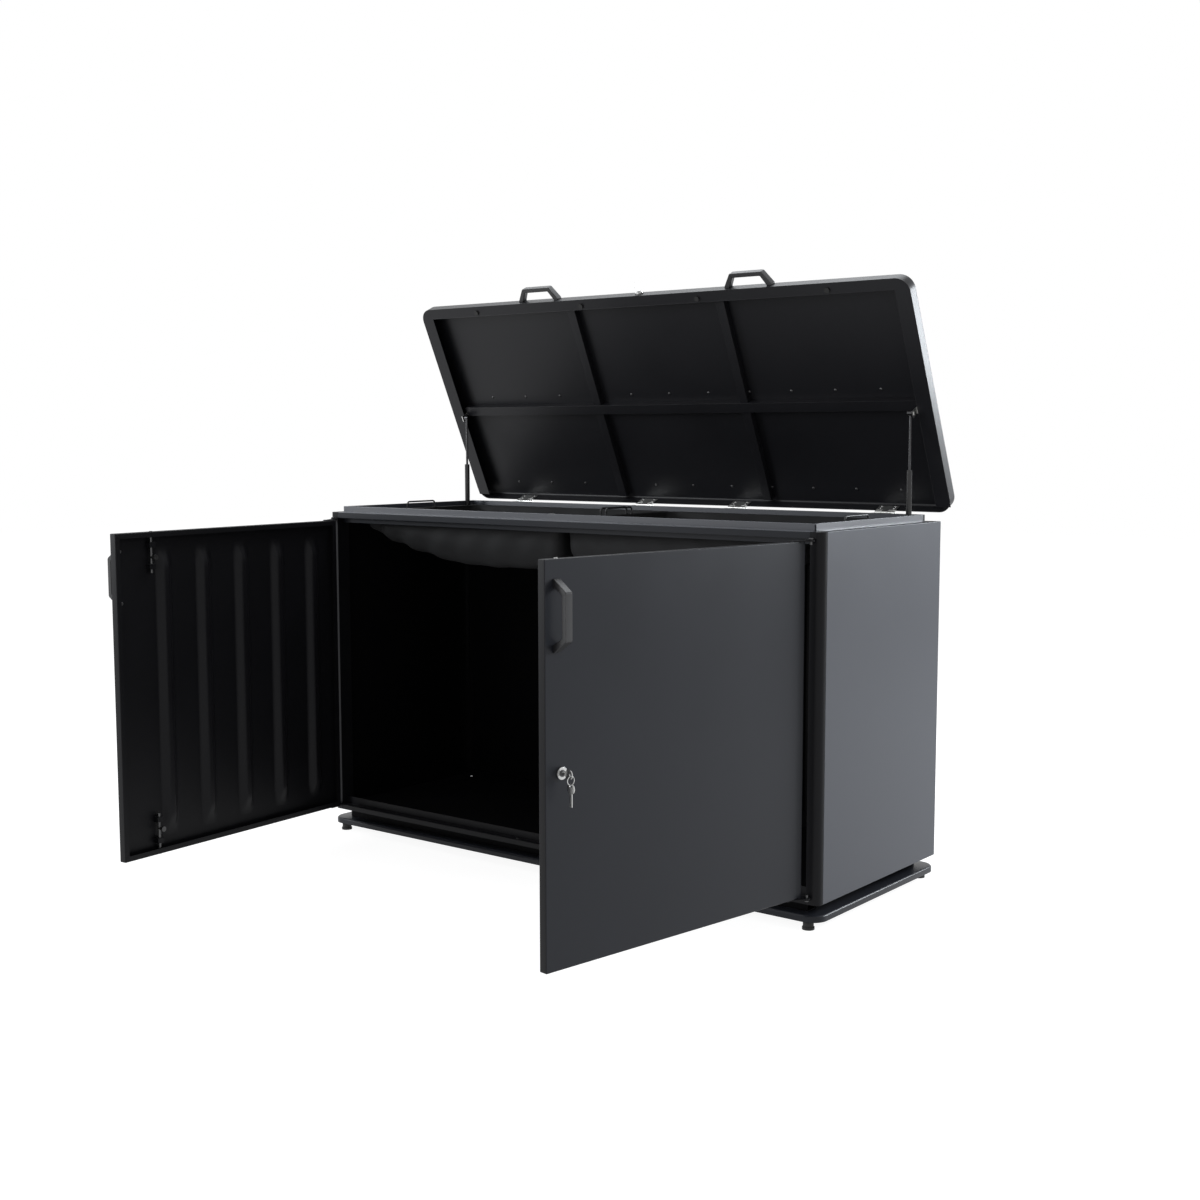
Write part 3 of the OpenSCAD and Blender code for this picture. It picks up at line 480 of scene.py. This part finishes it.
def makeLid():
    v = lidSet
    front = v["back"] - v["length"]
    halfY, midY = v["length"] / 2, v["back"] - v["length"] / 2
    b, s = v["bend"], v["sheet"]
    z0, z1 = v["z0"], v["z0"] + v["depth"]
    outer = [(b - x, z) for x, z in arc((0.0, z1 - b), b, 90, 0, 10)]
    inner = [(b - x, z) for x, z in arc((0.0, z1 - b), b - s, 0, 90, 10)]
    steps = outer + [(0.0, z0 + 0.0006), (0.0006, z0), (s, z0 + 0.0004)] + inner
    grid = shell(steps, v["halfX"], halfY, v["corner"], 14, (0.0, midY))
    parts = [(grid, capped(grid))]
    # return flange: U in plan, from one back end round the front to the other
    count = 10
    t = np.linspace(0, pi / 2, count + 1)
    hx, r = v["halfX"] - s, v["corner"] - s
    yBack = v["back"] - v["backStop"]
    left = np.stack([-(hx - r) - r * np.cos(t), front + s + r - r * np.sin(t)], -1)
    outline = np.concatenate([[(-hx, yBack)], left, (left * (-1, 1))[::-1], [(hx, yBack)]])
    ix, iy = v["halfX"] - v["sideFlange"], front + v["frontFlange"]
    inside = np.concatenate([[(-ix, yBack)], np.tile((-ix, iy), (count + 1, 1)),
                             np.tile((ix, iy), (count + 1, 1)), [(ix, yBack)]])
    low, high = z0 + 0.0002, z0 + s
    rows = [(outline, low), (inside, low), (inside, high), (outline, high), (outline, low)]
    flat = np.stack([np.c_[plan, np.full(len(plan), z)] for plan, z in rows])
    parts.append((flat, gridFaces(*flat.shape[:2], False)))
    # rolled hem along the flange's inner edge
    hemZ = z0 + v["hem"]
    hemPath = np.array([(-ix, yBack, hemZ), (-ix, iy, hemZ), (ix, iy, hemZ), (ix, yBack, hemZ)])
    for a, c in zip(hemPath[:-1], hemPath[1:]):
        line = tube([a, (a + c) / 2, c], v["hem"], 12)
        parts.append((line, capped(line)))
    points, faces = joined(parts)
    # the lid skin takes the darker lid copy of the paint as painted shade
    piece = makePiece("lidSkin", onLid(points), faces, "lidPaint", merge=seamGap)
    addModifier(piece, "EDGE_SPLIT", split_angle=splitAngle)
    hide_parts("lid_shell")
    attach(piece, "lid")


def headsOnLid(name, head, spots, towards, material):
    # rivet or screw heads at the given places of the closed lid
    points, faces = joined([placed(dome(*head), spot, towards) for spot in spots])
    return makePiece(name, onLid(points), faces, material)


def makeLidRivets():
    v = lidSet
    under = v["z0"] + v["depth"] - v["sheet"]
    xs = (np.arange(v["rivets"]) - (v["rivets"] - 1) / 2) * v["rivetPitch"]
    spots = [(x, v["back"] - u, under) for u in v["rivetRows"] for x in xs]
    piece = headsOnLid("lidRivets", rivetHead, spots, (0, 0, -1), "darkZinc")
    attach(piece, "lid")


def makeLidHandleScrews():
    v = lidSet
    y, z = v["back"] - v["length"] + v["sheet"], v["z0"] + v["handleV"]
    spots = [(x + dx, y, z) for x in (-v["handleX"], v["handleX"]) for dx in (-v["handleScrew"], v["handleScrew"])]
    piece = headsOnLid("lidHandleScrews", rivetHead, spots, (0, 1, 0), "darkZinc")
    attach(piece, "lid")


hingeSet = {"places": (-0.637, -0.165, 0.165, 0.637), "leaf": 0.002, "screwX": (-0.020, 0.020),
            "screwV": (0.010, 0.021)}


def makeHingeScrews():
    v = hingeSet
    y = lidSet["back"] - lidSet["sheet"] - v["leaf"]
    spots = [(x + dx, y, lidSet["z0"] + dv) for x in v["places"] for dx in v["screwX"] for dv in v["screwV"]]
    piece = headsOnLid("hingeLeafScrews", screwHead, spots, (0, -1, 0), "nickel")
    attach(piece, "lid")


def dressLid():
    # stiffeners take the darker lid copy as painted shade
    for name in ("lid_long_stiffener", "lid_cross_stiffeners"):
        dressNode(name, "lidPaint", 0.0005)
    dressNode("lid_handles", "blackPlastic", 0.0025)
    dressNode("lid_bumpers", "rubber", 0.001)
    for name in ("lid_hinge_leaves", "lid_strut_brackets"):
        dressNode(name, "zincPlate", 0.0004)
    for name in ("lid_lock_housing", "lid_lock_plug", "lid_key"):
        dressNode(name, "nickel", 0.0003)


doorSet = {"face": -0.300, "free": 0.0015, "edge": 0.7813, "lip": 0.7918, "thick": 0.0207,
           "z0": 0.0821, "z1": 0.9213, "sheet": 0.0012, "bend": 0.0018, "corner": 0.0022, "flange": 0.014,
           "handleX": 0.0315, "handleZ": 0.8083, "screw": 0.066}
ribSet = {"count": 5, "first": 0.084, "pitch": 0.133, "width": 0.056, "flat": 0.010, "height": 0.0150,
          "margin": 0.040, "run": 0.060, "lift": 0.0002}


def eased(t):
    # smooth step from 0 to 1
    t = np.clip(t, 0, 1)
    return t ** 2 * (3 - 2 * t)


def makeRibs(side):
    # pressed rib: height is a smooth step across the width and another along each end
    v, d = ribSet, doorSet
    zLow, zHigh = d["z0"] + v["margin"], d["z1"] - v["margin"]
    across = np.linspace(-0.5, 0.5, 25) * v["width"]
    along = np.concatenate([zLow + np.linspace(0, v["run"], 9),
                            np.linspace(zLow + v["run"], zHigh - v["run"], 12)[1:-1],
                            zHigh - v["run"] + np.linspace(0, v["run"], 9)])
    sides = eased((v["width"] / 2 - np.abs(across)) / ((v["width"] - v["flat"]) / 2))
    ends = eased((along - zLow) / v["run"]) * eased((zHigh - along) / v["run"])
    parts = []
    for i in range(v["count"]):
        top = np.zeros((len(along), len(across), 3))
        top[..., 0] = d["edge"] - v["first"] - i * v["pitch"] + across[None]
        top[..., 1] = d["face"] + d["sheet"] + v["lift"] + v["height"] * (sides[None] * ends[:, None])
        top[..., 2] = along[:, None]
        parts.append((top, gridFaces(*top.shape[:2], False)))
    points, faces = joined(parts)
    if side == "left":
        points, faces = points * (-1, 1, 1), [f[::-1] for f in faces]
    # the ribs take the darker inner copy of the paint as painted shade
    piece = makePiece(side + "RibPressings", openPose(points, side + "_door_hinge"), faces, "innerPaint")
    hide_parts(side + "_door_ribs")
    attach(piece, side + "_door")


def section(profile, x0, x1, z0, z1, radius, count):
    # stack of rounded rectangles standing in the door's plane: each is (inset, y)
    rows = []
    for inset, y in profile:
        plan = ring((x1 - x0) / 2 - inset, (z1 - z0) / 2 - inset, max(radius - inset, 0.0003), count)
        plan = plan + np.array([(x0 + x1) / 2, (z0 + z1) / 2])
        rows.append(np.stack([plan[:, 0], np.full(len(plan), y), plan[:, 1]], -1))
    return np.array(rows)


def makeDoorSkin(side):
    # folded tray: face, rounded fold, edge, return flange 14 mm wide, then back along the inside
    v = doorSet
    b, t, y0, y1 = v["bend"], v["sheet"], v["face"], v["face"] + v["thick"]
    fold = [(b - x, y0 + b - z) for x, z in arc((0.0, 0.0), b, 90, 0, 8)]
    hem = [(b - x, y1 - b + z) for x, z in arc((0.0, 0.0), b, 0, 90, 8)]
    inner = [(v["flange"], y1), (v["flange"], y1 - t), (t, y1 - t), (t, y0 + t)]
    grid = section(fold + hem + inner, v["free"], v["edge"], v["z0"], v["z1"], v["corner"], 4)
    # the face sheet runs on past the fold towards the hinge, with its corner broken
    x0, x1 = v["edge"] - 0.002, v["lip"]
    outline = [(x0, y0 + 0.00005), (x1 - 0.0004, y0 + 0.00005), (x1, y0 + 0.0006), (x1, y0 + t), (x0, y0 + t)]
    lip = np.array([[(x, y, z) for x, y in outline] for z in (v["z0"] + 0.0003, v["z1"] - 0.0003)])
    points, faces = joined([(grid, capped(grid)), (lip, capped(lip))])
    if side == "left":
        points = points * (-1, 1, 1)
    joint = side + "_door_hinge"
    piece = makePiece(side + "DoorTray", openPose(points, joint), faces, "innerPaint", merge=seamGap)
    # faces that look the way the front does, swung open, take the plain anthracite; all other faces keep the darker
    # inner copy as painted shade
    swung = openPose(np.array([[0.0, -1.0, 0.0], [0.0, 0.0, 0.0]]), joint)
    outward = swung[0] - swung[1]
    normals = np.empty(3 * len(piece.data.polygons))
    piece.data.polygons.foreach_get("normal", normals)
    piece.data.materials.append(materials["anthracite"])
    outer = normals.reshape(-1, 3) @ outward > 0.5
    piece.data.polygons.foreach_set("material_index", outer.astype(int))
    addModifier(piece, "EDGE_SPLIT", split_angle=splitAngle)
    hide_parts(side + "_door_skin")
    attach(piece, side + "_door")


def makeHandleScrews():
    # two screw heads on the inside of each door, behind the handle's feet
    v = doorSet
    spots = [(v["handleX"], v["face"] + v["sheet"], v["handleZ"] + dz) for dz in (-v["screw"], v["screw"])]
    for side in ("left", "right"):
        points, faces = joined([placed(dome(*rivetHead), spot, (0, 1, 0)) for spot in spots])
        if side == "left":
            points, faces = points * (-1, 1, 1), [f[::-1] for f in faces]
        piece = makePiece(side + "HandleScrews", openPose(points, side + "_door_hinge"), faces, "darkZinc")
        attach(piece, side + "_door")


def dressDoors():
    makeDoorSkin("left")
    makeDoorSkin("right")
    makeHandleScrews()
    for name in ("left_door_handle", "right_door_handle"):
        dressNode(name, "blackPlastic", 0.0025)
    # hinge arms and bolt guides take the darker inner copy of the paint as painted shade
    for name in ("left_door_hinge_arms", "right_door_hinge_arms", "left_bolt_guides"):
        dressNode(name, "innerPaint", 0.0004)
    for name in ("left_top_bolt", "left_bottom_bolt", "rod_guides"):
        dressNode(name, "darkZinc", 0.0006)
    for name in ("top_lock_rod", "bottom_lock_rod"):
        dressNode(name, "zincPlate", 0.0006)
    for name in ("lock_housing", "door_key", "spare_key"):
        dressNode(name, "nickel", 0.0003)
    dressNode("lock_plug", "darkZinc", 0.0003)
    dressNode("key_ring", "nickel")


def dressStruts():
    for side in ("left", "right"):
        dressNode(side + "_strut_tube", "glossBlack", 0.0006)
        dressNode(side + "_strut_rod", "nitrided", 0.0004)


# moulded tub: rings of a rounded rectangle, bellied towards the bottom, with a little slack in the walls
tubSet = {"x0": 0.010, "x1": 0.745, "halfY": 0.240, "top": 0.9473, "depth": 0.146, "wall": 0.003,
          "corner": 0.030, "flangeX0": 0.005, "flangeX1": 0.753, "flangeY": 0.262, "flange": 0.004,
          "flangeCorner": 0.012, "lip": 0.0012, "belly": 0.075, "slack": 0.0028, "shallow": 0.42,
          "riseOver": 0.6, "seam": 2e-5}


def tubRows(inset, rise, outward):
    # one skin of the tub from the flange down to a point in the middle of the bottom
    v = tubSet
    cx = (v["x0"] + v["x1"]) / 2
    hx, hy = (v["x1"] - v["x0"]) / 2 - inset, v["halfY"] - inset
    bottom = v["top"] - v["depth"] + rise
    rows = []
    b = v["belly"] - inset
    levels = [(0.0, z) for z in np.linspace(v["top"] - v["flange"] * outward, bottom + b, 12)]
    levels += [(b - b * cos(t), bottom + b - b * sin(t)) for t in np.linspace(0, pi / 2, 13)[1:]]
    for draw, z in levels:
        plan = ring(hx - draw, hy - 0.6 * draw, v["corner"] + 0.35 * draw, 10, cx, sides=60)
        rows.append(np.c_[plan, np.full(len(plan), z)])
    middle = np.array([cx, 0.0, rows[-1][0, 2]])
    last = rows[-1]
    rows += [middle + (last - middle) * f for f in (0.93, 0.8, 0.6, 0.4, 0.2, 0.0)]
    return np.array(rows)


def makeTub(side):
    v = tubSet
    cx = (v["flangeX0"] + v["flangeX1"]) / 2
    hx = (v["flangeX1"] - v["flangeX0"]) / 2
    outer = tubRows(0.0, 0.0, 1)
    inner = tubRows(v["wall"], v["wall"], 0)
    rim = []
    for inset, drop in ((0.0, v["flange"]), (0.0, v["lip"]), (v["lip"], 0.0)):
        z = v["top"] - drop
        plan = ring(hx - inset, v["flangeY"] - inset, v["flangeCorner"], 10, cx, sides=60)
        rim.append(np.c_[plan, np.full(len(plan), z)])
    grid = np.concatenate([outer[::-1], np.array(rim), inner])
    # the depth grows from the outer end to the inner one, like a hammock
    x, y = grid[..., 0], grid[..., 1]
    along = np.clip((v["x1"] - x) / (v["x1"] - v["x0"]) / v["riseOver"], 0, 1)
    depth = v["shallow"] + (1 - v["shallow"]) * np.sin(along * pi / 2)
    below = np.clip(v["top"] - 0.006 - grid[..., 2], 0, None)
    grid[..., 2] -= below * (depth - 1)
    # folds: two sums of sines, strongest half way down the walls, none at the flange
    fade = np.clip(below / 0.05, 0, 1)
    folds = np.sin(31 * x + 9 * np.sin(6 * x + 2)) + 0.6 * np.sin(57 * x + 40 * grid[..., 2] + 1.7)
    ends = np.sin(37 * y + 7 * np.sin(8 * y)) + 0.5 * np.sin(71 * y + 30 * grid[..., 2])
    off = x - (v["x0"] + v["x1"]) / 2
    grid[..., 1] -= np.sign(y) * np.clip(np.abs(y) / 0.2, 0, 1) ** 3 * v["slack"] * (1.2 + folds) * fade
    grid[..., 0] -= np.sign(off) * np.clip(np.abs(off) / 0.33, 0, 1) ** 3 * v["slack"] * (1.2 + ends) * fade
    grid[..., 2] += v["slack"] * 0.5 * (1.6 + folds) * fade * np.clip(below / 0.1, 0, 1)
    if side == "left":
        grid = grid * (-1, 1, 1)
    faces = gridFaces(*grid.shape[:2], True)
    piece = makePiece(side + "TubMoulding", grid.reshape(-1, 3), faces, "tubLiner", merge=v["seam"])
    addModifier(piece, "EDGE_SPLIT", split_angle=radians(50))
    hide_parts(side + "_tub")
    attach(piece, side + "_tub")


def dressTubs():
    for side in ("left", "right"):
        makeTub(side)
        dressNode(side + "_tub_handles", "blackPlastic")


# back and front are the sky's strength behind and before the cabinet; bounce is the floor's colour for soft light
stageSet = {"floor": 30.0, "shadow": 0.30, "glow": 1.32, "back": 0.7, "front": 0.25, "slope": 0.9, "shift": 0.45,
            "bounce": (0.40, 0.40, 0.40, 1), "pale": (0.92, 0.92, 0.92, 1)}


def directSight(start):
    # 1 for what the camera sees, straight or in a reflection
    camera = start.node("ShaderNodeLightPath", out="Is Camera Ray")
    glossy = start.node("ShaderNodeLightPath", out="Is Glossy Ray")
    through = start.node("ShaderNodeLightPath", out="Is Transmission Ray")
    return clamp(camera + glossy + through, 0.0, 1.0)


def makeStage():
    half = stageSet["floor"] / 2
    mesh = bpy.data.meshes.new("studioFloor")
    corners = [(-half, -half, 0), (half, -half, 0), (half, half, 0), (-half, half, 0)]
    mesh.from_pydata(corners, [], [(0, 1, 2, 3)])
    floor = bpy.data.objects.new("studioFloor", mesh)
    bpy.context.scene.collection.objects.link(floor)
    material = bpy.data.materials.new("paleFloor")
    material.use_nodes = True
    tree = material.node_tree
    tree.nodes.clear()
    start = Wire(tree)
    seen = directSight(start)
    shade = mixColour(start, seen, stageSet["bounce"], stageSet["pale"])
    lit = start.node("ShaderNodeBsdfDiffuse", {}, {"Color": shade})
    glow = start.node("ShaderNodeEmission", {}, {"Color": (1, 1, 1, 1), "Strength": stageSet["glow"]})
    mixed = start.node("ShaderNodeMixShader", {}, {0: seen * (1 - stageSet["shadow"]), 1: lit, 2: glow})
    finishMaterial(start, mixed)
    mesh.materials.append(material)

    world = bpy.data.worlds.new("studioWorld")
    bpy.context.scene.world = world
    world.use_nodes = True
    tree = world.node_tree
    tree.nodes.clear()
    start = Wire(tree)
    seen = directSight(start)
    where = start.node("ShaderNodeTexCoord", out=0)
    split = start.node("ShaderNodeSeparateXYZ", {}, {0: where}, 1)
    backness = clamp(split * stageSet["slope"] + stageSet["shift"], 0.0, 1.0)
    strength = stageSet["front"] + (stageSet["back"] - stageSet["front"]) * backness
    shown = clamp(strength + seen, 0.0, 1.0)
    back = start.node("ShaderNodeBackground", {}, {"Color": (1, 1, 1, 1), "Strength": shown})
    tree.links.new(back.socket, tree.nodes.new("ShaderNodeOutputWorld").inputs["Surface"])


lampSet = [
    {"name": "rightBackSoftbox", "place": (2.8, 3.458, 1.85), "aim": (0.8, 0.358, 0.80), "size": (2.0, 0.9),
     "power": 160, "tint": (0.90, 0.95, 1.0)},
    {"name": "overheadSoftbox", "place": (-0.5, 1.158, 3.6), "aim": (0.0, 0.358, 0.8), "size": (3.2, 2.4),
     "power": 80, "tint": (0.92, 0.96, 1.0)},
    {"name": "leftFill", "place": (-3.6, -3.042, 2.3), "aim": (0.0, 0.358, 1.0), "size": (1.6, 2.0),
     "power": 90, "tint": (0.92, 0.96, 1.0)},
]


def makeLamps():
    for v in lampSet:
        data = bpy.data.lights.new(v["name"], "AREA")
        data.shape, data.energy, data.color = "RECTANGLE", v["power"], v["tint"]
        data.size, data.size_y = v["size"]
        lamp = bpy.data.objects.new(v["name"], data)
        bpy.context.scene.collection.objects.link(lamp)
        lamp.location = v["place"]
        ahead = Vector(v["aim"]) - Vector(v["place"])
        lamp.rotation_euler = ahead.to_track_quat("-Z", "Y").to_euler()


dressBody()
makePlinth()
makeBracketRivets()
print("body done")
makeLid()
makeLidRivets()
makeHingeScrews()
makeLidHandleScrews()
dressLid()
print("lid done")
dressDoors()
for side in ("left", "right"):
    makeRibs(side)
dressStruts()
dressTubs()
print("doors, struts and tubs done")
makeStage()
makeLamps()
bpy.context.scene.view_settings.view_transform = "Standard"
print("stage done")

bpy.context.view_layer.update()
